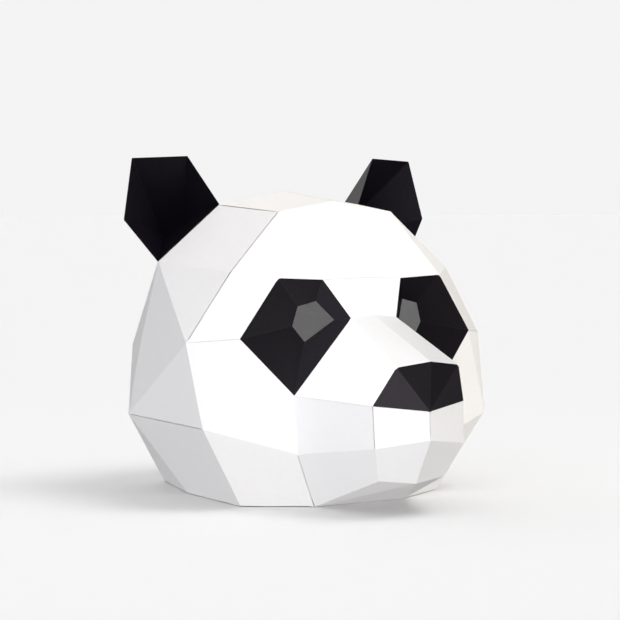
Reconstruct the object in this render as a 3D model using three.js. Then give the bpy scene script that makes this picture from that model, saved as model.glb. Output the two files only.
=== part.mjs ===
// Panda mask of folded card: a hollow faceted head that stands on its open rim.
// Millimetres, +Z up. The face looks along -Y, and the wearer's right is -X.
import * as THREE from "three";

// Driving sizes
const CARD = 1.2;            // thickness of every sheet's solid
const SEAM = 0.34;           // clear gap between neighbouring sheets
const WHITE = { color: 0xf3f2ef, roughness: 0.85, metalness: 0 };
const BLACK = { color: 0x1b1b1e, roughness: 0.8, metalness: 0 };
const HEAD_CENTRE = [0, 60, 110];   // every head facet is turned away from here
const EAR_FRONT = [118, 20, 236];   // every ear facet is turned towards here, wearer's left

// Corners of the wearer's left half, one short table for each part of the head.
// Columns: out from the middle plane, back, up.
const MIDDLE_LINE = {
  crown:      { out: 0, back: 133, up: 263 },
  hairline:   { out: 0, back: 49, up: 254 },
  browMid:    { out: 0, back: 0, up: 190 },
  bridgeTop:  { out: 0, back: -18, up: 160 },
  noseTop:    { out: 0, back: -104, up: 127 },
  noseLow:    { out: 0, back: -103, up: 87 },
  lipMid:     { out: 0, back: -104, up: 64 },
  chinMid:    { out: 0, back: -83, up: 27 },
  rimMid:     { out: 0, back: 3.5, up: 0 },
  backTop:    { out: 0, back: 208, up: 251 },
  backMid:    { out: 0, back: 243, up: 164 },
  backLow:    { out: 0, back: 236, up: 80 },
  rimBack:    { out: 0, back: 219, up: 0 },
};
const UPPER_HEAD = {
  earFoot:    { out: 127, back: 128, up: 202 },
  earTopFoot: { out: 71, back: 122, up: 251 },
  foreTop:    { out: 56, back: 44, up: 245 },
  temple:     { out: 107, back: 33, up: 195.5 },
  cheekBone:  { out: 145, back: 39, up: 138 },
};
const EYE = {
  browOut:    { out: 79, back: 2, up: 191 },
  browIn:     { out: 38, back: 0, up: 189 },
  innerEye:   { out: 22, back: -18.5, up: 157.5 },
  underEye:   { out: 70, back: -8.5, up: 95 },
  outerEye:   { out: 112.5, back: 6, up: 142 },
  holeBrow:   { out: 58.5, back: 6, up: 167 },
  holeTop:    { out: 42.5, back: 4, up: 171 },
  holeIn:     { out: 32, back: -7.5, up: 156 },
  holeLow:    { out: 53.5, back: 3.5, up: 138 },
  holeOut:    { out: 63, back: 7, up: 151 },
};
const MUZZLE = {
  noseWing:   { out: 29.5, back: -99.5, up: 123 },
  noseSide:   { out: 43.5, back: -86.5, up: 92 },
  lipSide:    { out: 42.5, back: -88.5, up: 58 },
  chinSide:   { out: 31.5, back: -77, up: 30.5 },
};
const JAW = {
  cheekLow:   { out: 139.5, back: 20, up: 68.5 },
  muzzleFoot: { out: 67, back: -8.5, up: 46.5 },
  sideLow:    { out: 148, back: 145, up: 70 },
  sideMid:    { out: 137.9, back: 142.4, up: 130.7 },
  sideBack:   { out: 127, back: 181.5, up: 127.5 },
  rimFront:   { out: 44, back: 3.5, up: 0 },
  rimJaw:     { out: 97, back: 34, up: 0 },
  rimSide:    { out: 102, back: 122, up: 0 },
  rimRear:    { out: 86.5, back: 202, up: 0 },
};
const BACK = {
  earBehind:  { out: 90, back: 191, up: 222 },
  crownBack:  { out: 68, back: 191, up: 241 },
  backSide:   { out: 93, back: 221, up: 143 },
  napeSide:   { out: 91, back: 216, up: 68.5 },
};
// The ear's foot lies on the head behind its front edge, one card and one seam clear of it.
const EAR = {
  earTipOut:  { out: 142, back: 148, up: 291 },
  earTipIn:   { out: 95, back: 136, up: 293 },
  earSide:    { out: 153, back: 141, up: 238 },
  earHeel:    { out: 128, back: 128.2, up: 203.2 },
  earRoot:    { out: 72, back: 122.2, up: 252.2 },
  earPitOut:  { out: 91, back: 197, up: 222.6 },
  earPitIn:   { out: 80.5, back: 185, up: 233.9 },
};
const CORNERS = { ...MIDDLE_LINE, ...UPPER_HEAD, ...EYE, ...MUZZLE, ...JAW, ...BACK, ...EAR };

// Sheets of card. span "both" crosses the middle plane, "pair" is one sheet for each side.
// Each row under facets is one flat between folds, named by its corners in order; a flat that
// isn't quite plane bends along the lines from its first corner.
const SHEETS = [
  { name: "forehead", span: "both", card: WHITE, facets: [
    "foreTop hairline browMid browIn browOut",
    "foreTop temple browOut",
    "temple browOut outerEye cheekBone"] },
  { name: "crown", span: "pair", card: WHITE, facets: [
    "earTopFoot crown hairline foreTop"] },
  { name: "side_panel", span: "pair", card: WHITE, facets: [
    "earFoot earTopFoot foreTop temple",
    "earFoot temple cheekBone",
    "earFoot cheekBone sideLow sideMid",
    "earFoot sideMid sideBack",
    "sideMid sideLow sideBack",
    "cheekBone cheekLow sideLow"] },
  { name: "cheek", span: "pair", card: WHITE, facets: [
    "outerEye cheekBone cheekLow",
    "outerEye cheekLow muzzleFoot underEye",
    "underEye noseSide lipSide muzzleFoot",
    "muzzleFoot lipSide chinSide rimFront"] },
  { name: "jaw", span: "pair", card: WHITE, facets: [
    "muzzleFoot rimFront rimJaw cheekLow",
    "sideLow cheekLow rimJaw rimSide",
    "sideLow rimSide rimRear"] },
  { name: "muzzle_bridge", span: "both", card: WHITE, facets: [
    "browIn browMid bridgeTop innerEye",
    "innerEye bridgeTop noseTop noseWing",
    "underEye noseSide noseWing innerEye"] },
  { name: "lip_and_chin", span: "pair", card: WHITE, facets: [
    "noseSide noseLow lipMid lipSide",
    "lipSide lipMid chinMid chinSide",
    "rimFront chinSide chinMid",
    "rimFront chinMid rimMid"] },
  { name: "back_panel", span: "pair", card: WHITE, facets: [
    "crown earTopFoot crownBack backTop",
    "earTopFoot earFoot earBehind crownBack",
    "earFoot earBehind sideBack",
    "backTop crownBack backSide backMid",
    "crownBack earBehind backSide",
    "earBehind sideBack backSide"] },
  { name: "nape", span: "pair", card: WHITE, facets: [
    "sideBack sideLow napeSide backSide",
    "backMid backSide napeSide backLow",
    "sideLow rimRear napeSide",
    "backLow napeSide rimRear rimBack"] },
  { name: "nose", span: "both", card: BLACK, facets: [
    "noseWing noseSide noseLow",
    "noseWing noseLow noseTop"] },
  { name: "eye_socket", span: "pair", card: BLACK, facets: [
    "browOut browIn holeTop holeBrow",
    "browIn innerEye holeIn holeTop",
    "innerEye underEye holeLow holeIn",
    "underEye outerEye holeOut holeLow",
    "outerEye browOut holeBrow holeOut"] },
  { name: "ear", span: "pair", card: BLACK, shell: "ear", facets: [
    "earTipOut earTipIn earPitIn earPitOut",
    "earTipIn earRoot earPitIn",
    "earTipOut earPitOut earSide",
    "earSide earPitOut earHeel",
    "earHeel earPitOut earPitIn earRoot"] },
];

// A corner of one side has its name and a sign; a middle corner has only its name.
function cornerKey(name, side) {
  return CORNERS[name].out === 0 ? name : `${name}${side < 0 ? "_right" : "_left"}`;
}

function cornerPoint(key) {
  const [name, side] = key.split("_");
  const { out, back, up } = CORNERS[name];
  return new THREE.Vector3(side === "right" ? -out : out, back, up);
}

function facetNormal(points) {
  const normal = new THREE.Vector3();
  points.forEach((p, i) => {
    const next = points[(i + 1) % points.length];
    normal.add(new THREE.Vector3().crossVectors(p, next));
  });
  return normal.normalize();
}

// One facet with its corners in order round the outward normal.
function makeFacet(row, side, shell) {
  const [first, ...others] = row.split(" ").map((name) => cornerKey(name, side));
  const points = [first, ...others].map(cornerPoint);
  const normal = facetNormal(points);
  const middle = points.reduce((sum, p) => sum.add(p), new THREE.Vector3()).divideScalar(points.length);
  const outward = shell === "ear"
    ? new THREE.Vector3(side * EAR_FRONT[0], EAR_FRONT[1], EAR_FRONT[2]).sub(middle)
    : middle.sub(new THREE.Vector3(...HEAD_CENTRE));
  if (normal.dot(outward) < 0) {
    others.reverse();
    normal.negate();
  }
  return { keys: [first, ...others], normal };
}

// The shift that best gives each direction its amount; a faint pull to zero settles the rest.
function bestShift(wishes) {
  const columns = new THREE.Matrix3().set(1e-6, 0, 0, 0, 1e-6, 0, 0, 0, 1e-6);
  const target = new THREE.Vector3();
  for (const { direction: d, amount, weight } of wishes) {
    const [x, y, z] = d.toArray();
    [x * x, x * y, x * z, y * x, y * y, y * z, z * x, z * y, z * z]
      .forEach((value, i) => { columns.elements[i] += weight * value; });
    target.addScaledVector(d, weight * amount);
  }
  return target.applyMatrix3(columns.invert());
}

// How far the inner face lies from the outer one at each corner of a whole shell.
const STAY_LEVEL = { direction: new THREE.Vector3(0, 0, 1), amount: 0, weight: 1e4 };

function inwardShifts(facets) {
  const wishes = {};
  for (const { keys, normal } of facets) {
    for (const key of keys) {
      wishes[key] ??= cornerPoint(key).z === 0 ? [STAY_LEVEL] : [];
      wishes[key].push({ direction: normal, amount: -CARD, weight: 1 });
    }
  }
  const shifts = {};
  for (const key in wishes) {
    shifts[key] = bestShift(wishes[key]);
  }
  return shifts;
}

// Edges of a sheet that no second facet of the sheet shares.
function openEdges(facets) {
  const edges = new Map();
  for (const facet of facets) {
    facet.keys.forEach((from, i) => {
      const to = facet.keys[(i + 1) % facet.keys.length];
      edges.set(`${from} ${to}`, { from, to, normal: facet.normal });
    });
  }
  return [...edges.values()].filter(({ from, to }) => !edges.has(`${to} ${from}`));
}

// A corner on a sheet's edge draws back into the sheet by half the seam, and one on a rim edge
// stays level.
function seamShifts(facets, edges) {
  const wishes = {};
  for (const { from, to, normal } of edges) {
    const along = cornerPoint(to).sub(cornerPoint(from)).normalize();
    const inside = new THREE.Vector3().crossVectors(normal, along);
    const onTable = cornerPoint(from).z === 0 && cornerPoint(to).z === 0;
    const wish = onTable ? STAY_LEVEL : { direction: inside, amount: SEAM / 2, weight: 1 };
    for (const key of [from, to]) {
      (wishes[key] ??= []).push(wish);
    }
  }
  const shifts = {};
  for (const key in wishes) {
    const flats = facets.filter((facet) => facet.keys.includes(key));
    const stay = flats.map(({ normal }) => ({ direction: normal, amount: 0, weight: 0.02 }));
    shifts[key] = bestShift([...wishes[key], ...stay]);
  }
  return shifts;
}

// A closed solid: the outer facets, the inner ones turned over, and walls along the open edges.
function sheetGeometry(facets, inward) {
  const edges = openEdges(facets);
  const seam = seamShifts(facets, edges);
  const keys = [...new Set(facets.flatMap((facet) => facet.keys))];
  const outer = new Map();
  const inner = new Map();
  const positions = [];
  keys.forEach((key, i) => {
    const point = cornerPoint(key).add(seam[key] ?? new THREE.Vector3());
    outer.set(key, i);
    inner.set(key, keys.length + i);
    positions.push(point);
  });
  keys.forEach((key, i) => positions.push(positions[i].clone().add(inward[key])));

  const triangles = [];
  for (const facet of facets) {
    const shape = facet.keys.map((key) => outer.get(key));
    for (let i = 1; i + 1 < shape.length; i += 1) {
      const [a, b, c] = [shape[0], shape[i], shape[i + 1]];
      triangles.push(a, b, c);
      triangles.push(a + keys.length, c + keys.length, b + keys.length);
    }
  }
  for (const { from, to } of edges) {
    // Both sheets at a seam cut a twisted wall along the same diagonal.
    const [a, b, c, d] = [outer.get(to), outer.get(from), inner.get(from), inner.get(to)];
    triangles.push(...(from < to ? [a, b, c, a, c, d] : [a, b, d, b, c, d]));
  }
  const geometry = new THREE.BufferGeometry().setFromPoints(positions);
  geometry.setIndex(triangles);
  geometry.computeVertexNormals();
  return geometry;
}

// Every sheet of the mask with its facets, one entry for each solid.
const solids = [];
for (const { name, span, card, facets, shell = "head" } of SHEETS) {
  const half = (side) => facets.map((row) => makeFacet(row, side, shell));
  if (span === "both") {
    solids.push({ name, card, shell, facets: [...half(-1), ...half(1)] });
  } else {
    solids.push({ name: `${name}_right`, card, shell, facets: half(-1) });
    solids.push({ name: `${name}_left`, card, shell, facets: half(1) });
  }
}

const headFacets = solids.filter(({ shell }) => shell === "head").flatMap(({ facets }) => facets);
const headInward = inwardShifts(headFacets);
const mask = new THREE.Group();
for (const { name, card, shell, facets } of solids) {
  const inward = shell === "ear" ? inwardShifts(facets) : headInward;
  const mesh = new THREE.Mesh(sheetGeometry(facets, inward), new THREE.MeshStandardMaterial(card));
  mesh.name = name;
  mask.add(mesh);
}

// The row's origin is the middle of the mask's footprint, on the table.
const box = new THREE.Box3().setFromObject(mask);
const footprint = box.getCenter(new THREE.Vector3()).setZ(box.min.z);
mask.position.copy(footprint.negate());
const part = new THREE.Group();
part.add(mask);

export default part;
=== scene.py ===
import itertools
import math

import bmesh
import bpy
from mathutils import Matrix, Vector
from mathutils.bvhtree import BVHTree
from mathutils.geometry import convex_hull_2d


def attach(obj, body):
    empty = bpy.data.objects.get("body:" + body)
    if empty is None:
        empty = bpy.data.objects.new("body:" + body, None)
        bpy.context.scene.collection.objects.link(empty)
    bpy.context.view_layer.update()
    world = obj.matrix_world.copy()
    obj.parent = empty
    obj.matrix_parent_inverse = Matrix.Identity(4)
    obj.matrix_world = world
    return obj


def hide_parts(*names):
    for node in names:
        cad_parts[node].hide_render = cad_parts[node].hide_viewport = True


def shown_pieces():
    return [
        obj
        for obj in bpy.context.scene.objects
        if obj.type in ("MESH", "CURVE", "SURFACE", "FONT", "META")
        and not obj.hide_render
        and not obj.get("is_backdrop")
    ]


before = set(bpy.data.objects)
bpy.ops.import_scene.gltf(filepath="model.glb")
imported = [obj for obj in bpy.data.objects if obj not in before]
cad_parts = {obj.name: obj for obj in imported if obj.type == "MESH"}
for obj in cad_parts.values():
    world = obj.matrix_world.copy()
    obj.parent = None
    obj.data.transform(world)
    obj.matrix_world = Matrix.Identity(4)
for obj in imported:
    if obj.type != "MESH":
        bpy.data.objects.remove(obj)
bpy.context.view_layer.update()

# Photograph's view
# The mask stands on a table and is seen from its wearer's right front, a little above the nose.
# The lens is long, so its lines hardly run together.
CAMERA_PLACE = (-0.842, -1.4385, 0.2506)
CAMERA_TURN = math.radians(-30.04)
CAMERA_DIP = math.radians(3.125)
LEVEL_CAMERA = math.radians(90)
FOCAL_PIXELS = 1923
PHOTO_PIXELS = 620

lens = bpy.data.cameras.new("photo_lens")
lens.lens = FOCAL_PIXELS / PHOTO_PIXELS * lens.sensor_width
camera = bpy.data.objects.new("photo_camera", lens)
camera.location = CAMERA_PLACE
camera.rotation_euler = (LEVEL_CAMERA - CAMERA_DIP, 0, CAMERA_TURN)
bpy.context.scene.collection.objects.link(camera)
bpy.context.scene.camera = camera

# Forehead
# One sheet of matt white card from the hairline down to the brows, with both temples folded back.
# It is cut out, scored along its folds, and glued to its neighbours with tabs on the inside.
HEAD_MIDDLE = Vector((0, -0.01, 0.11))
SAME_CORNER = 0.00001
CORNER_DIGITS = 5
SHORTEST_FLAT_SIDE = 0.003
CARD_THICKNESS = 0.00045
FOLD_ROUND = 0.0003
FOLD_STEPS = 2
FOLD_ANGLE = math.radians(6)
CREASE_ANGLE = math.radians(2.5)
ALL_FOLDS = 1.0
FLAT_FINENESS = 4
SETTLING_STEPS = 40
BOW = 0.0005
BOW_REACH = 0.012
BOW_SCALE = 14.0
BOW_INWARDS = 0.7
CUT_SCALE = 30.0
CUT_SEED = 7.0
SEAM_REACH = 0.001
TIGHT_SEAM = -0.00014
# Sheets that meet, the heights between which their seam gapes, and how far each cut edge draws back
OPEN_SEAMS = (
    ({"crown"}, 0, 1, 0.00025),
    ({"crown", "side_panel"}, 0, 1, 0.0006),
    ({"forehead", "side_panel"}, 0, 1, 0.00045),
    ({"side_panel", "jaw"}, 0, 1, 0.0003),
    ({"cheek", "jaw"}, 0, 0.05, 0.0002),
    ({"cheek", "lip_and_chin"}, 0.06, 1, 0.0003),
    ({"lip_and_chin"}, 0.06, 1, 0.00025),
    ({"forehead", "muzzle_bridge"}, 0, 1, -0.00004),
    ({"forehead", "cheek"}, 0, 1, -0.00004),
    ({"muzzle_bridge", "cheek"}, 0, 1, -0.00004),
    ({"side_panel", "back_panel"}, 0, 1, -0.00006),
    ({"back_panel"}, 0, 1, -0.00006),
    ({"back_panel", "nape"}, 0, 1, -0.00006),
    ({"nape"}, 0, 1, -0.00006),
)
RIM_LIFT = 0.0007
RIM_HEIGHT = 0.001
WIDE_SEAM = 0.0005
TAB_WIDTH = 0.009
TAB_ROOT = 0.003
TAB_TO_FLAT = 3
TAB_THICKNESS = CARD_THICKNESS / 2
TAB_DEPTH = CARD_THICKNESS + 0.0008
TAB_INSET = 0.002
TAB_END_LENGTH = 0.9
WHITE_CARD_COLOUR = (0.86, 0.86, 0.865, 1)
WHITE_FIBRE_COLOUR = (0.90, 0.895, 0.89, 1)
WHITE_FIBRE_SCALE = 260.0
WHITE_SMOOTHEST = 0.78
WHITE_GLOSS = 0.3
WHITE_TOOTH_STRENGTH = 0.12
TOOTH_SCALE = 1900.0
TOOTH_ROUGHNESS = 0.14
TOOTH_HEIGHT = 0.0002


class Wire:
    """An output socket of a node tree; sums written with it add Math nodes to the tree."""

    def __init__(self, tree, socket=None):
        self.tree = tree
        self.socket = socket

    def node(self, kind, settings=None, inputs=None, out=0):
        """Adds a node: its settings first, then the value or wire of each socket named."""
        made = self.tree.nodes.new(kind)
        for name, value in (settings or {}).items():
            setattr(made, name, value)
        for key, value in (inputs or {}).items():
            named = [s for s in made.inputs if key in (s.identifier, s.name)]
            socket = made.inputs[key] if isinstance(key, int) else named[0]
            if isinstance(value, Wire):
                self.tree.links.new(value.socket, socket)
            else:
                socket.default_value = value
        return Wire(self.tree, made.outputs[out])

    def maths(self, operation, first, second):
        return self.node("ShaderNodeMath", {"operation": operation}, {0: first, 1: second})

    def __add__(self, other):
        return self.maths("ADD", self, other)

    def __radd__(self, other):
        return self.maths("ADD", other, self)

    def __sub__(self, other):
        return self.maths("SUBTRACT", self, other)

    def __rsub__(self, other):
        return self.maths("SUBTRACT", other, self)

    def __mul__(self, other):
        return self.maths("MULTIPLY", self, other)

    def __rmul__(self, other):
        return self.maths("MULTIPLY", other, self)

    def __truediv__(self, other):
        return self.maths("DIVIDE", self, other)

    def __rtruediv__(self, other):
        return self.maths("DIVIDE", other, self)

    def __gt__(self, other):
        return self.maths("GREATER_THAN", self, other)

    def __lt__(self, other):
        return self.maths("LESS_THAN", self, other)


def settling_card():
    """Node tree that lets each flat of a folded sheet settle and bow between its folds."""
    tree = bpy.data.node_groups.new("settling_card", "GeometryNodeTree")
    sizes = ("Fold Angle", "Longest Fold", "Bow", "Reach", "Seed")
    tree.interface.new_socket("Geometry", in_out="INPUT", socket_type="NodeSocketGeometry")
    for size in sizes:
        tree.interface.new_socket(size, in_out="INPUT", socket_type="NodeSocketFloat")
    tree.interface.new_socket("Card", in_out="INPUT", socket_type="NodeSocketMaterial")
    tree.interface.new_socket("Geometry", in_out="OUTPUT", socket_type="NodeSocketGeometry")
    entry = tree.nodes.new("NodeGroupInput")
    given = {socket.name: Wire(tree, socket) for socket in entry.outputs}
    sheet = given["Geometry"]

    # Lines that hold still: folds inside the sheet and its cut outline
    ends = [sheet.node("GeometryNodeInputMeshEdgeVertices", out=end) for end in (2, 3)]
    length = sheet.node(
        "ShaderNodeVectorMath", {"operation": "DISTANCE"}, {0: ends[0], 1: ends[1]}, 1)
    turn = sheet.node("GeometryNodeInputMeshEdgeAngle")
    folded = (turn > given["Fold Angle"]) * (length < given["Longest Fold"])
    cut = sheet.node("GeometryNodeInputMeshEdgeNeighbors") < 1.5
    by_edge = {"domain": "EDGE", "mode": "EDGE_FACE"}
    folds = sheet.node(
        "GeometryNodeDeleteGeometry", by_edge, {"Geometry": sheet, "Selection": 1 - folded})
    outline = sheet.node(
        "GeometryNodeDeleteGeometry", by_edge, {"Geometry": sheet, "Selection": 1 - cut})

    def gap_to(lines):
        near = sheet.node("GeometryNodeProximity", {"target_element": "EDGES"}, {0: lines}, 1)
        found = Wire(tree, near.socket.node.outputs["Is Valid"])
        return near + (1 - found)

    fine = sheet.node("GeometryNodeSubdivideMesh", {}, {"Mesh": sheet, "Level": FLAT_FINENESS})
    for name, lines in (("to_fold", folds), ("to_cut", outline)):
        fine = fine.node(
            "GeometryNodeStoreNamedAttribute", {"data_type": "FLOAT", "domain": "POINT"},
            {"Geometry": fine, "Name": name, "Value": gap_to(lines)})
    to_fold, to_cut = [
        sheet.node("GeometryNodeInputNamedAttribute", {"data_type": "FLOAT"}, {"Name": name})
        for name in ("to_fold", "to_cut")]
    still = sheet.maths("MINIMUM", to_fold, to_cut)

    # Each flat settles to a smooth skin between its lines, then bows a little
    place = sheet.node("GeometryNodeInputPosition")
    settled = sheet.node(
        "GeometryNodeBlurAttribute", {"data_type": "FLOAT_VECTOR"},
        {"Value": place, "Iterations": SETTLING_STEPS, "Weight": still > SAME_CORNER})
    fine = fine.node("GeometryNodeSetPosition", {}, {"Geometry": fine, "Position": settled})
    swell = sheet.node(
        "ShaderNodeTexNoise", {"noise_dimensions": "4D"},
        {"Vector": place, "W": given["Seed"], "Scale": BOW_SCALE, "Detail": 1.0})
    lift = given["Bow"] * (still / (still + given["Reach"])) * (2 * swell - BOW_INWARDS)
    facing = sheet.node("GeometryNodeInputNormal")
    rise = sheet.node("ShaderNodeVectorMath", {"operation": "SCALE"}, {0: facing, "Scale": lift})
    fine = fine.node("GeometryNodeSetPosition", {}, {"Geometry": fine, "Offset": rise})

    # Each cut edge draws back by its own gape, unevenly where the seam is open
    nearest = sheet.node("GeometryNodeSampleNearest", {"domain": "EDGE"}, {"Geometry": outline})

    def of_nearest_cut(kind, name):
        held = sheet.node("GeometryNodeInputNamedAttribute", {"data_type": kind}, {"Name": name})
        return sheet.node(
            "GeometryNodeSampleIndex", {"data_type": kind, "domain": "EDGE"},
            {"Geometry": outline, "Value": held, "Index": nearest})

    gape = of_nearest_cut("FLOAT", "gape")
    uneven = sheet.node(
        "ShaderNodeTexNoise", {"noise_dimensions": "4D"},
        {"Vector": place, "W": given["Seed"] + CUT_SEED, "Scale": CUT_SCALE, "Detail": 1.0})
    back = (gape + sheet.maths("MAXIMUM", gape, 0.0) * (2 * uneven - 1)) * (to_cut < SAME_CORNER)
    give = sheet.node(
        "ShaderNodeVectorMath", {"operation": "SCALE"},
        {0: of_nearest_cut("FLOAT_VECTOR", "into"), "Scale": back})
    fine = fine.node("GeometryNodeSetPosition", {}, {"Geometry": fine, "Offset": give})

    whole = fine.node("GeometryNodeRealizeInstances", {}, {"Geometry": fine})
    shown = whole.node("GeometryNodeSetMaterial", {}, {"Geometry": whole, "Material": given["Card"]})
    leave = tree.nodes.new("NodeGroupOutput")
    tree.links.new(shown.socket, leave.inputs[0])
    return tree


def flats_of(node, towards=None):
    """The show side of a CAD sheet as a mesh of its flats, merged; towards is a point it faces."""
    sheet = bmesh.new()
    sheet.from_mesh(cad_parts[node].data)
    bmesh.ops.remove_doubles(sheet, verts=sheet.verts, dist=SAME_CORNER)
    hidden = []
    for flat in sheet.faces:
        middle = flat.calc_center_median()
        outward = middle - HEAD_MIDDLE if towards is None else towards - middle
        on_the_edge = min(side.calc_length() for side in flat.edges) < SHORTEST_FLAT_SIDE
        on_the_floor = max(corner.co.z for corner in flat.verts) < RIM_HEIGHT
        if on_the_edge or on_the_floor or flat.normal.dot(outward) < 0:
            hidden.append(flat)
    bmesh.ops.delete(sheet, geom=hidden, context="FACES")
    return sheet


def cut_edges(node):
    """Every cut edge of a sheet's show side: its ends, and its flat's facing, way in, depth and leans.

    A lean is how far the flat's side comes in along the edge, at one end, for each metre of depth.
    The rim's edges are cut unevenly, so most of the rim stands a little off the floor.
    """
    sheet = flats_of(node)
    edges = []
    for edge in sheet.edges:
        if edge.is_boundary:
            flat = edge.link_faces[0]
            ends = [corner.co.copy() for corner in edge.verts]
            into = flat.normal.cross(ends[1] - ends[0]).normalized()
            if into.dot(flat.calc_center_median() - ends[0]) < 0:
                into.negate()
            depth = 2 * flat.calc_area() / edge.calc_length()
            leans = []
            for corner in edge.verts:
                far = edge.other_vert(corner)
                side = [line for line in flat.edges if corner in line.verts and line != edge][0]
                slope = side.other_vert(corner).co - corner.co
                leans.append(max(0, slope.dot((far.co - corner.co).normalized()) / slope.dot(into)))
            edges.append({
                "sheet": node, "ends": ends, "facing": flat.normal.copy(), "into": into,
                "depth": depth, "leans": leans, "tab_under": None,
                "gape": RIM_LIFT if max(end.z for end in ends) < RIM_HEIGHT else 0.0})
    sheet.free()
    return edges


def family(node):
    return node.removesuffix("_right").removesuffix("_left")


def seams_of_the_head():
    """Cut edges of all head sheets; where two meet, each has its gape, and the smaller flat a tab.

    The nose and the rolled muzzle bridge are glued edge to edge, and a wide seam has come off its tab.
    """
    edges = [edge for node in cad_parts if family(node) != "ear" for edge in cut_edges(node)]
    for one, other in itertools.combinations(edges, 2):
        apart = [max((a - b).length for a, b in zip(one["ends"], ends))
                 for ends in (other["ends"], other["ends"][::-1])]
        if one["sheet"] == other["sheet"] or min(apart) > SEAM_REACH:
            continue
        families = {family(one["sheet"]), family(other["sheet"])}
        height = sum(end.z for end in one["ends"]) / 2
        gapes = [gape for pair, low, high, gape in OPEN_SEAMS
                 if pair == families and low < height < high]
        one["gape"] = other["gape"] = gapes[0] if gapes else TIGHT_SEAM
        if one["gape"] < WIDE_SEAM and not families & {"nose", "muzzle_bridge"}:
            under, over = sorted((one, other), key=lambda edge: edge["depth"])
            under["tab_under"] = over
    return edges


def set_up_node_modifier(piece, tree, given):
    """Adds a Geometry Nodes modifier and sets its named inputs by their identifiers."""
    made = piece.modifiers.new(tree.name, "NODES")
    made.node_group = tree
    for socket in tree.interface.items_tree:
        if socket.in_out == "INPUT" and socket.name in given:
            made[socket.identifier] = given[socket.name]


def thicken(piece, thickness):
    wall = piece.modifiers.new("card", "SOLIDIFY")
    wall.thickness = thickness
    wall.offset = -1
    wall.use_even_offset = True


def finished_mesh(piece):
    """The piece's mesh with its modifiers applied."""
    evaluated = piece.evaluated_get(bpy.context.evaluated_depsgraph_get())
    return bpy.data.meshes.new_from_object(evaluated)


def glue_tab_tree():
    """Node tree that folds a tab from each tab line: over the ridge, then under the next sheet."""
    tree = bpy.data.node_groups.new("glue_tabs", "GeometryNodeTree")
    tree.interface.new_socket("Geometry", in_out="INPUT", socket_type="NodeSocketGeometry")
    tree.interface.new_socket("End Length", in_out="INPUT", socket_type="NodeSocketFloat")
    tree.interface.new_socket("Card", in_out="INPUT", socket_type="NodeSocketMaterial")
    tree.interface.new_socket("Geometry", in_out="OUTPUT", socket_type="NodeSocketGeometry")
    entry = tree.nodes.new("NodeGroupInput")
    lines, end_length, card = [Wire(tree, socket) for socket in entry.outputs][:3]
    tabs = lines
    top = True
    for way in ("to_ridge", "under_next"):
        lean = tabs.node(
            "GeometryNodeInputNamedAttribute", {"data_type": "FLOAT_VECTOR"}, {"Name": way})
        tabs = tabs.node(
            "GeometryNodeExtrudeMesh", {"mode": "EDGES"},
            {"Mesh": tabs, "Selection": top, "Offset": lean, "Offset Scale": 1.0})
        top = Wire(tree, tabs.socket.node.outputs["Top"])
    tabs = tabs.node(
        "GeometryNodeScaleElements", {"domain": "EDGE"},
        {"Geometry": tabs, "Selection": top, "Scale": end_length})
    tabs = tabs.node("GeometryNodeRealizeInstances", {}, {"Geometry": tabs})
    tabs = tabs.node("GeometryNodeSetMaterial", {}, {"Geometry": tabs, "Material": card})
    leave = tree.nodes.new("NodeGroupOutput")
    tree.links.new(tabs.socket, leave.inputs[0])
    return tree


def tabs_of(node, card):
    """The glue tabs of a sheet, as one mesh that lies close under it and its neighbours."""
    places, ways = [], {"to_ridge": [], "under_next": []}
    for edge in head_seams:
        over = edge["tab_under"]
        if edge["sheet"] != node or over is None:
            continue
        start, end = edge["ends"]
        facing, next_facing = edge["facing"], over["facing"]
        root_width = min(TAB_ROOT, edge["depth"] / TAB_TO_FLAT)
        next_width = min(TAB_WIDTH, over["depth"] / TAB_TO_FLAT)
        same_way = (over["ends"][0] - start).length < (over["ends"][1] - start).length
        next_leans = over["leans"] if same_way else over["leans"][::-1]
        trims = [TAB_INSET + max(lean * root_width, next_lean * next_width)
                 for lean, next_lean in zip(edge["leans"], next_leans)]
        along = end - start
        if sum(trims) > along.length - TAB_INSET:
            continue
        along.normalize()
        ridge = -(facing + next_facing) * TAB_DEPTH / (1 + facing.dot(next_facing))
        root = edge["into"] * root_width - facing * TAB_DEPTH
        places += [start + along * trims[0] + root, end - along * trims[1] + root]
        ways["to_ridge"].append(ridge - root)
        ways["under_next"].append(over["into"] * next_width)
    mesh = bpy.data.meshes.new(node + "_tab_lines")
    mesh.from_pydata(places, [(2 * i, 2 * i + 1) for i in range(len(places) // 2)], [])
    for name, vectors in ways.items():
        held = mesh.attributes.new(name, "FLOAT_VECTOR", "EDGE")
        held.data.foreach_set("vector", [number for vector in vectors for number in vector])
    tabs = bpy.data.objects.new(node + "_tabs", mesh)
    bpy.context.scene.collection.objects.link(tabs)
    set_up_node_modifier(tabs, tab_tree, {"End Length": TAB_END_LENGTH, "Card": card})
    thicken(tabs, TAB_THICKNESS)
    folded = finished_mesh(tabs)
    bpy.data.objects.remove(tabs)
    return folded


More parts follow.
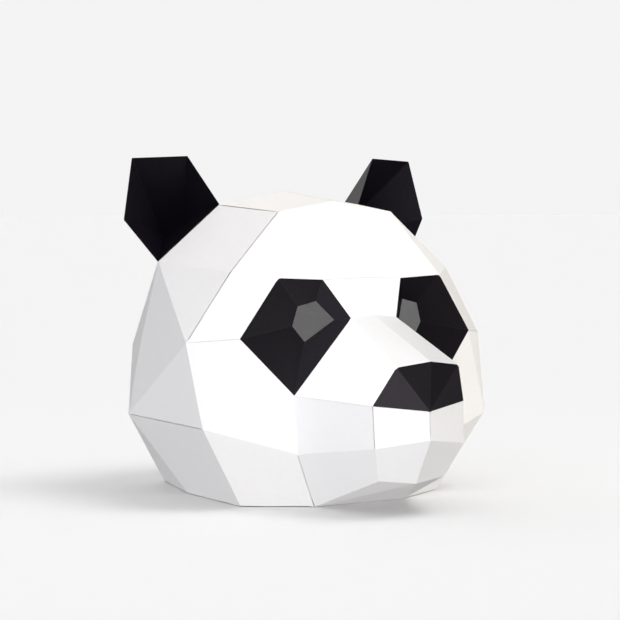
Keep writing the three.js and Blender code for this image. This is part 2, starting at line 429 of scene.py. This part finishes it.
def folded_sheet(name, node, sheet, card, seed, longest_fold=ALL_FOLDS):
    """A finished piece of card: settled flats, rounded folds, the card's thickness and its tabs."""
    start = bpy.data.meshes.new(name + "_flats")
    sheet.verts.index_update()
    corners = [corner.co.copy() for corner in sheet.verts]
    start.from_pydata(corners, [], [[corner.index for corner in flat.verts] for flat in sheet.faces])
    sheet.free()
    gapes = start.attributes.new("gape", "FLOAT", "EDGE")
    ways_in = start.attributes.new("into", "FLOAT_VECTOR", "EDGE")
    cut = {frozenset(end.to_tuple(CORNER_DIGITS) for end in edge["ends"]): edge
           for edge in head_seams if edge["sheet"] == node}
    for line in start.edges:
        edge = cut.get(frozenset(corners[end].to_tuple(CORNER_DIGITS) for end in line.vertices))
        if edge:
            gapes.data[line.index].value = edge["gape"]
            ways_in.data[line.index].vector = edge["into"]
    piece = bpy.data.objects.new(name, start)
    bpy.context.scene.collection.objects.link(piece)
    set_up_node_modifier(piece, card_tree, {
        "Fold Angle": FOLD_ANGLE, "Longest Fold": longest_fold, "Bow": BOW, "Reach": BOW_REACH,
        "Seed": float(seed), "Card": card})
    soften = piece.modifiers.new("fold_round", "BEVEL")
    soften.width = FOLD_ROUND
    soften.segments = FOLD_STEPS
    soften.limit_method = "ANGLE"
    soften.angle_limit = FOLD_ANGLE
    thicken(piece, CARD_THICKNESS)
    done = finished_mesh(piece)
    piece.modifiers.clear()
    if cut:
        whole = bmesh.new()
        whole.from_mesh(done)
        whole.from_mesh(tabs_of(node, card))
        whole.to_mesh(done)
        whole.free()
    piece.data = done
    done.name = name
    done.shade_smooth()
    done.set_sharp_from_angle(angle=CREASE_ANGLE)
    return piece


def white_card_paint():
    """Matt white card: a faint mottling of fibres and a fine tooth."""
    paint = bpy.data.materials.new("white_card")
    paint.use_nodes = True
    tree = paint.node_tree
    skin = tree.nodes["Principled BSDF"]
    shader = Wire(tree, skin.outputs[0])
    spot = shader.node("ShaderNodeTexCoord", out=3)
    cloud = shader.node(
        "ShaderNodeTexNoise", {}, {"Vector": spot, "Scale": WHITE_FIBRE_SCALE, "Detail": 4.0})
    tooth = shader.node(
        "ShaderNodeTexNoise", {}, {"Vector": spot, "Scale": TOOTH_SCALE, "Detail": 3.0})
    base = shader.node(
        "ShaderNodeMix", {"data_type": "RGBA"},
        {"Factor_Float": cloud, "A_Color": WHITE_CARD_COLOUR, "B_Color": WHITE_FIBRE_COLOUR}, 2)
    tree.links.new(base.socket, skin.inputs["Base Color"])
    rough = WHITE_SMOOTHEST + TOOTH_ROUGHNESS * tooth
    tree.links.new(rough.socket, skin.inputs["Roughness"])
    skin.inputs["Specular IOR Level"].default_value = WHITE_GLOSS
    relief = shader.node(
        "ShaderNodeBump", {},
        {"Strength": WHITE_TOOTH_STRENGTH, "Distance": TOOTH_HEIGHT, "Height": tooth})
    tree.links.new(relief.socket, skin.inputs["Normal"])
    return paint


card_tree = settling_card()
tab_tree = glue_tab_tree()
head_seams = seams_of_the_head()
white_card = white_card_paint()

forehead = folded_sheet("forehead_sheet", "forehead", flats_of("forehead"), white_card, seed=1)
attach(forehead, "root")
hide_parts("forehead")

# Crown sheets
# Two plain white sheets over the top of the head, one for each side.
# They meet in a seam along the middle and are glued to the forehead behind its hairline.
for side in ("right", "left"):
    node = f"crown_{side}"
    crown = folded_sheet(f"crown_sheet_{side}", node, flats_of(node), white_card, seed=2)
    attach(crown, "root")
    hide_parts(node)

# Side panels
# White sheets of six flats from the foot of the ear round the temple to the cheek bone.
# Their front edge is the long seam down from the crown.
for side in ("right", "left"):
    node = f"side_panel_{side}"
    panel = folded_sheet(f"side_sheet_{side}", node, flats_of(node), white_card, seed=3)
    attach(panel, "root")
    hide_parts(node)

# Cheeks
# White sheets of four flats below the eyes, folded forward along the foot of the muzzle to its side.
# They are glued to the eye sockets, the muzzle bridge and the jaw.
for side in ("right", "left"):
    node = f"cheek_{side}"
    cheek = folded_sheet(f"cheek_sheet_{side}", node, flats_of(node), white_card, seed=4)
    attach(cheek, "root")
    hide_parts(node)

# Jaw sheets
# White sheets of three flats that turn in below the cheeks and the side panels, to which they are
# glued. Their lower edges are cut straight, and the mask stands on them.
for side in ("right", "left"):
    node = f"jaw_{side}"
    jaw = folded_sheet(f"jaw_sheet_{side}", node, flats_of(node), white_card, seed=5)
    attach(jaw, "root")
    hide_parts(node)

# Muzzle bridge
# One white sheet from between the eyes to the nose, with both sides of the muzzle.
# Its side flats are rolled a little, so the two longest lines inside it are no folds.
LONGEST_MUZZLE_FOLD = 0.098
muzzle = folded_sheet(
    "muzzle_sheet", "muzzle_bridge", flats_of("muzzle_bridge"), white_card, seed=6,
    longest_fold=LONGEST_MUZZLE_FOLD)
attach(muzzle, "root")
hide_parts("muzzle_bridge")

# Lip and chin
# Two white sheets for the front of the muzzle, the chin and its underside, which slopes back to the
# rim. They meet in a seam in the middle.
for side in ("right", "left"):
    node = f"lip_and_chin_{side}"
    lip = folded_sheet(f"lip_sheet_{side}", node, flats_of(node), white_card, seed=7)
    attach(lip, "root")
    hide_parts(node)

# Back of the head
# White sheets behind the ears and, below them, the nape down to the rim.
# They are cut and glued like the sides, with a seam down the middle.
for side in ("right", "left"):
    for place, seed in (("back_panel", 8), ("nape", 9)):
        node = f"{place}_{side}"
        back = folded_sheet(f"{place}_sheet_{side}", node, flats_of(node), white_card, seed=seed)
        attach(back, "root")
        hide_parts(node)

# Nose
# One sheet of matt black card, dyed through, folded into four flats.
# It is glued edge to edge into the opening at the front of the muzzle.
BLACK_CARD_COLOUR = (0.0145, 0.0125, 0.0153, 1)
BLACK_FIBRE_COLOUR = (0.0215, 0.0185, 0.0225, 1)
# Painted highlight: a paler colour laid in patches along each fold line of the black card
FOLD_HIGHLIGHT_COLOUR = (0.034, 0.031, 0.035, 1)
FOLD_HIGHLIGHT_REACH = 0.0006
FOLD_HIGHLIGHT_PATCH_SCALE = 90.0
BLACK_FIBRE_SCALE = 420.0
BLACK_SMOOTHEST = 0.45
BLACK_GLOSS = 0.13
BLACK_TOOTH_STRENGTH = 0.2


def black_card_paint():
    """Matt black card, dyed through: fine grey fibres, and a paler line painted along each fold as its
    highlight.
    """
    paint = bpy.data.materials.new("black_card")
    paint.use_nodes = True
    tree = paint.node_tree
    skin = tree.nodes["Principled BSDF"]
    shader = Wire(tree, skin.outputs[0])
    spot = shader.node("ShaderNodeTexCoord", out=3)
    cloud = shader.node(
        "ShaderNodeTexNoise", {}, {"Vector": spot, "Scale": BLACK_FIBRE_SCALE, "Detail": 5.0})
    tooth = shader.node(
        "ShaderNodeTexNoise", {}, {"Vector": spot, "Scale": TOOTH_SCALE, "Detail": 3.0})
    base = shader.node(
        "ShaderNodeMix", {"data_type": "RGBA"},
        {"Factor_Float": cloud, "A_Color": BLACK_CARD_COLOUR, "B_Color": BLACK_FIBRE_COLOUR}, 2)
    to_fold = shader.node("ShaderNodeAttribute", {"attribute_name": "to_fold"}, out=2)
    patchy = shader.node(
        "ShaderNodeTexNoise", {}, {"Vector": spot, "Scale": FOLD_HIGHLIGHT_PATCH_SCALE, "Detail": 3.0})
    # Painted highlight along each fold, fading out within its reach and broken into patches
    fold_highlight = shader.maths("MAXIMUM", 1 - to_fold / FOLD_HIGHLIGHT_REACH, 0.0) * patchy
    base = shader.node(
        "ShaderNodeMix", {"data_type": "RGBA"},
        {"Factor_Float": fold_highlight, "A_Color": base, "B_Color": FOLD_HIGHLIGHT_COLOUR}, 2)
    tree.links.new(base.socket, skin.inputs["Base Color"])
    rough = BLACK_SMOOTHEST + TOOTH_ROUGHNESS * tooth
    tree.links.new(rough.socket, skin.inputs["Roughness"])
    skin.inputs["Specular IOR Level"].default_value = BLACK_GLOSS
    relief = shader.node(
        "ShaderNodeBump", {},
        {"Strength": BLACK_TOOTH_STRENGTH, "Distance": TOOTH_HEIGHT, "Height": tooth})
    tree.links.new(relief.socket, skin.inputs["Normal"])
    return paint


black_card = black_card_paint()
nose = folded_sheet("nose_sheet", "nose", flats_of("nose"), black_card, seed=10)
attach(nose, "root")
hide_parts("nose")

# Eye sockets
# Black sheets of five flats that slope in to an open five-sided hole for each eye.
# Their outer edges are glued to the forehead, the cheek and the muzzle bridge.
for side in ("right", "left"):
    node = f"eye_socket_{side}"
    socket = folded_sheet(f"eye_sheet_{side}", node, flats_of(node), black_card, seed=11)
    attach(socket, "root")
    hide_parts(node)

# Ears
# Cups folded from black card, open to the front.
# Their feet are glued flat on the head behind the crown.
EAR_FRONT = Vector((0.118, -0.0495, 0.236))
FOOT_GAP = 0.003
FOOT_HEIGHT = CARD_THICKNESS + 0.0001
for side, way in (("right", -1), ("left", 1)):
    node = f"ear_{side}"
    cup = flats_of(node, towards=Vector((way * EAR_FRONT.x, EAR_FRONT.y, EAR_FRONT.z)))
    head = flats_of(f"back_panel_{side}")
    skin = BVHTree.FromBMesh(head)
    feet = [corner.co for corner in cup.verts if skin.find_nearest(corner.co)[3] < FOOT_GAP]
    middle = sum(feet, Vector()) / len(feet)
    seat, facing, _, _ = skin.find_nearest(middle)
    for corner in cup.verts:
        height = (corner.co - seat).dot(facing)
        if abs(height) < FOOT_GAP:
            corner.co += facing * (FOOT_HEIGHT - height)
    head.free()
    ear = folded_sheet(f"ear_sheet_{side}", node, cup, black_card, seed=12)
    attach(ear, "root")
    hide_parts(node)

# Floor and light
# A plain pale floor that runs out of sight under soft lamps, with a patch of it inside the rim.
# Each group of sheets has its own lamps, some from below for the light off the floor, and a dim lamp
# inside stands for the light that comes through the card.
FLOOR_REACH = 40.0
FLOOR_COLOUR = (0.9, 0.9, 0.9, 1)
PATCH_HEIGHT = 0.0001
BACKDROP_LIGHT = (0.902, 0.902, 0.902, 1)
ROOM_LIGHT = (0, 0, 0, 1)

floor_mesh = bpy.data.meshes.new("floor")
floor_mesh.from_pydata(
    [(-FLOOR_REACH, -FLOOR_REACH, 0), (FLOOR_REACH, -FLOOR_REACH, 0),
     (FLOOR_REACH, FLOOR_REACH, 0), (-FLOOR_REACH, FLOOR_REACH, 0)], [], [(0, 1, 2, 3)])
floor = bpy.data.objects.new("floor", floor_mesh)
bpy.context.scene.collection.objects.link(floor)
floor.visible_glossy = False
floor.visible_diffuse = False
floor_paint = bpy.data.materials.new("floor_paint")
floor_paint.use_nodes = True
floor_skin = floor_paint.node_tree.nodes["Principled BSDF"]
floor_skin.inputs["Base Color"].default_value = FLOOR_COLOUR
floor_skin.inputs["Roughness"].default_value = 1.0
floor_skin.inputs["Specular IOR Level"].default_value = 0.0
floor_mesh.materials.append(floor_paint)
floor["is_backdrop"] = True

# The patch of floor inside the rim keeps the lamps from below out of the hollow
rim = [corner.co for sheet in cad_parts.values() for corner in sheet.data.vertices
       if corner.co.z < RIM_HEIGHT]
outline = [rim[i] for i in convex_hull_2d([corner.to_2d() for corner in rim])]
patch_mesh = bpy.data.meshes.new("floor_patch")
patch_mesh.from_pydata([(x, y, PATCH_HEIGHT) for x, y, _ in outline], [], [range(len(outline))])
patch_mesh.materials.append(floor_paint)
patch = bpy.data.objects.new("floor_patch", patch_mesh)
bpy.context.scene.collection.objects.link(patch)
patch.visible_glossy = False
patch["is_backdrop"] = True

world = bpy.data.worlds.new("studio")
world.use_nodes = True
bpy.context.scene.world = world
room = Wire(world.node_tree)
seen = room.node("ShaderNodeLightPath")
backdrop = room.node(
    "ShaderNodeMix", {"data_type": "RGBA"},
    {"Factor_Float": seen, "A_Color": ROOM_LIGHT, "B_Color": BACKDROP_LIGHT}, 2)
world.node_tree.links.new(backdrop.socket, world.node_tree.nodes["Background"].inputs["Color"])


def lit_group(name, members):
    """A collection of pieces that a lamp lights, or that shade it."""
    made = bpy.data.collections.new(name)
    for member in members:
        made.objects.link(member)
    return made


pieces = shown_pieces()
white_pieces = [piece for piece in pieces if piece.data.materials[0] == white_card]
shades = lit_group("shades", [*pieces, patch])
white_only = lit_group("white_only", white_pieces)
muzzle_only = lit_group("muzzle_only", [muzzle])
all_but_muzzle = lit_group("all_but_muzzle", [piece for piece in white_pieces if piece != muzzle])
far_cheek_only = lit_group("far_cheek_only", [bpy.data.objects["cheek_sheet_left"]])
far_side_only = lit_group("far_side_only", [
    bpy.data.objects["side_sheet_left"], bpy.data.objects["jaw_sheet_left"]])
back_only = lit_group("back_only", [
    piece for piece in pieces if piece.name.startswith(("back_panel", "nape"))])
nose_only = lit_group("nose_only", [nose])
eyes_only = lit_group("eyes_only", [piece for piece in pieces if piece.name.startswith("eye")])
ears_only = lit_group("ears_only", [piece for piece in pieces if piece.name.startswith("ear")])
floor_only = lit_group("floor_only", [floor])


def lamp(name, kind, energy, place, aim, receivers):
    """A lamp that lights its receivers alone and is shaded by the mask alone, not by the floor."""
    light = bpy.data.lights.new(name, kind)
    light.energy = energy
    holder = bpy.data.objects.new(name, light)
    holder.location = place
    holder.rotation_euler = (Vector(aim) - Vector(place)).to_track_quat("-Z", "Y").to_euler()
    holder.visible_camera = False
    bpy.context.scene.collection.objects.link(holder)
    holder.light_linking.receiver_collection = receivers
    holder.light_linking.blocker_collection = shades
    return light


# Each sun's strength, degrees round from the front, up and wide, its tint, and what it lights
BLUE, COOL, PLAIN = (0.9, 0.86, 1.15), (0.985, 0.975, 1.0), (1.0, 1.0, 1.0)
WARM = (1.0, 0.95, 0.86)
SUNS = (
    ("high_left", 0.52, -35, 55, 60, COOL, white_only),
    ("side_left", 0.8, -80, 40, 50, COOL, white_only),
    ("low_left", 0.63, -70, 3, 40, COOL, white_only),
    ("front", 1.2, 10, 35, 50, PLAIN, white_only),
    ("high_right", 1.45, 70, 45, 50, WARM, all_but_muzzle),
    ("high_back", 0.65, 170, 60, 60, WARM, all_but_muzzle),
    ("bounce_left", 1.4, -45, -30, 60, COOL, white_only),
    ("bounce_right", 0.42, 30, -40, 60, WARM, white_only),
    ("bounce_below", 0.45, 0, -85, 60, PLAIN, all_but_muzzle),
    ("muzzle_high_left", 0.5, -35, 55, 60, WARM, muzzle_only),
    ("muzzle_left", 0.5, -75, 20, 50, PLAIN, muzzle_only),
    ("muzzle_front", 0.6, 0, 0, 50, PLAIN, muzzle_only),
    ("muzzle_right", 2.4, 100, -20, 50, WARM, muzzle_only),
    ("far_side", 1.3, 95, -10, 60, WARM, far_side_only),
    ("back", 2.1, 180, 0, 80, PLAIN, back_only),
    ("cheek_front", 0.72, 0, 0, 50, WARM, far_cheek_only),
    ("eyes_overhead", 0.9, 0, 90, 60, PLAIN, eyes_only),
    ("eyes_high_left", 0.7, -60, 60, 60, PLAIN, eyes_only),
    ("eyes_left", 0.6, -70, 10, 50, BLUE, eyes_only),
    ("eyes_low_left", 0.55, -80, -10, 40, PLAIN, eyes_only),
    ("eyes_front", 0.4, 0, 0, 50, PLAIN, eyes_only),
    ("eyes_bounce", 1.6, -30, -45, 60, PLAIN, eyes_only),
    ("nose_low_left", 12.0, -80, -60, 40, PLAIN, nose_only),
    ("nose_low_right", 2.4, 60, -60, 40, PLAIN, nose_only),
    ("ears_front", 1.25, 0, 30, 60, BLUE, ears_only),
    ("ears_left", 0.6, -60, 10, 60, BLUE, ears_only),
    ("ears_back", 1.2, 180, 20, 60, PLAIN, ears_only),
    ("floor_overhead", 2.34, 0, 90, 125, PLAIN, floor_only),
    ("floor_right", 0.95, 50, 62, 30, PLAIN, floor_only),
)
for name, strength, around, height, width, tint, receivers in SUNS:
    around, height = math.radians(around), math.radians(height)
    level = math.cos(height)
    place = (math.sin(around) * level, -math.cos(around) * level, math.sin(height))
    sun = lamp(name, "SUN", strength, place, (0, 0, 0), receivers)
    sun.angle = math.radians(width)
    sun.color = tint

# A small soft lamp close before the muzzle, and the dim one inside
KEY_POWER, KEY_WIDTH = 0.25, 0.2
KEY_PLACE, KEY_AIM = (-0.287, -0.51, 0.11), (0, -0.1, 0.11)
INSIDE_POWER, INSIDE_WIDTH = 0.05, 0.04
key = lamp("key", "AREA", KEY_POWER, KEY_PLACE, KEY_AIM, white_only)
key.shape = "DISK"
key.size = KEY_WIDTH
inside = lamp("inside", "POINT", INSIDE_POWER, HEAD_MIDDLE, (0, 0, 0), white_only)
inside.shadow_soft_size = INSIDE_WIDTH

bpy.context.scene.view_settings.view_transform = "Standard"
